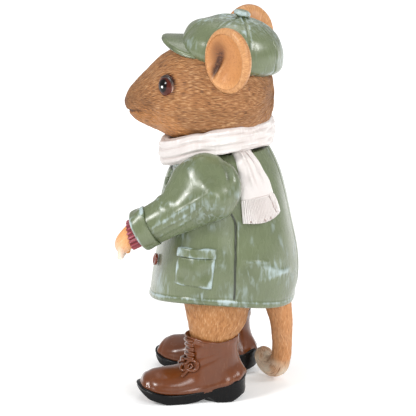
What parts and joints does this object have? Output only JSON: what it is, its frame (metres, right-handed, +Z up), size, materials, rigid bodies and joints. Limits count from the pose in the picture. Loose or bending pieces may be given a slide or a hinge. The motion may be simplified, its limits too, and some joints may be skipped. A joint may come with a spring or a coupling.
{
  "type": "mouse figurine",
  "caption": "Standing mouse ornament in a flat cap, scarf, buttoned coat and laced boots, cast and painted, which stands on its two soles.",
  "frame": {"origin": "middle of the ornament's footprint box, on the surface that it stands on", "axes": "+Z up through the cap, -Y the way the mouse faces, +X its left side"},
  "size_m": [0.0996, 0.0787, 0.1729],
  "materials": {
    "fur": "painted resin, mid-brown sculpted fur",
    "sage_cloth": "painted resin, glossy sage green cloth",
    "scarf_cloth": "painted resin, off-white folded scarf",
    "coat_button": "glossy red-brown paint",
    "tail_fur": "painted resin, brown fading to a pale tip",
    "eye": "glossy dark red-brown paint",
    "ear_skin": "painted resin, orange-tan",
    "leg_fur": "painted resin, orange-tan sculpted fur",
    "boot_leather": "painted resin, glossy mid-brown",
    "sole_black": "glossy black paint",
    "knit_burgundy": "painted resin, burgundy ribbing",
    "paw_skin": "painted resin, orange fading to cream tips"
  },
  "bodies": {
    "root": {"head": "fur", "cap_crown": "sage_cloth", "cap_peak": "sage_cloth", "cap_button": "sage_cloth", "scarf_wrap": "scarf_cloth", "scarf_end_back": "scarf_cloth", "scarf_end_front": "scarf_cloth", "coat_body": "sage_cloth", "coat_buttons": "coat_button", "coat_collar": "sage_cloth", "tail": "tail_fur", "left_eye": "eye", "left_ear": "ear_skin", "left_lapel": "sage_cloth", "left_pocket": "sage_cloth", "left_pocket_flap": "sage_cloth", "left_leg": "leg_fur", "left_boot": "boot_leather", "left_sole": "sole_black", "left_laces": "boot_leather", "left_sleeve": "sage_cloth", "left_sleeve_cuff": "sage_cloth", "left_knit_cuff": "knit_burgundy", "left_paw": "paw_skin", "right_eye": "eye", "right_ear": "ear_skin", "right_lapel": "sage_cloth", "right_pocket": "sage_cloth", "right_pocket_flap": "sage_cloth", "right_leg": "leg_fur", "right_boot": "boot_leather", "right_sole": "sole_black", "right_laces": "boot_leather", "right_sleeve": "sage_cloth", "right_sleeve_cuff": "sage_cloth", "right_knit_cuff": "knit_burgundy", "right_paw": "paw_skin"}
  },
  "joints": []
}
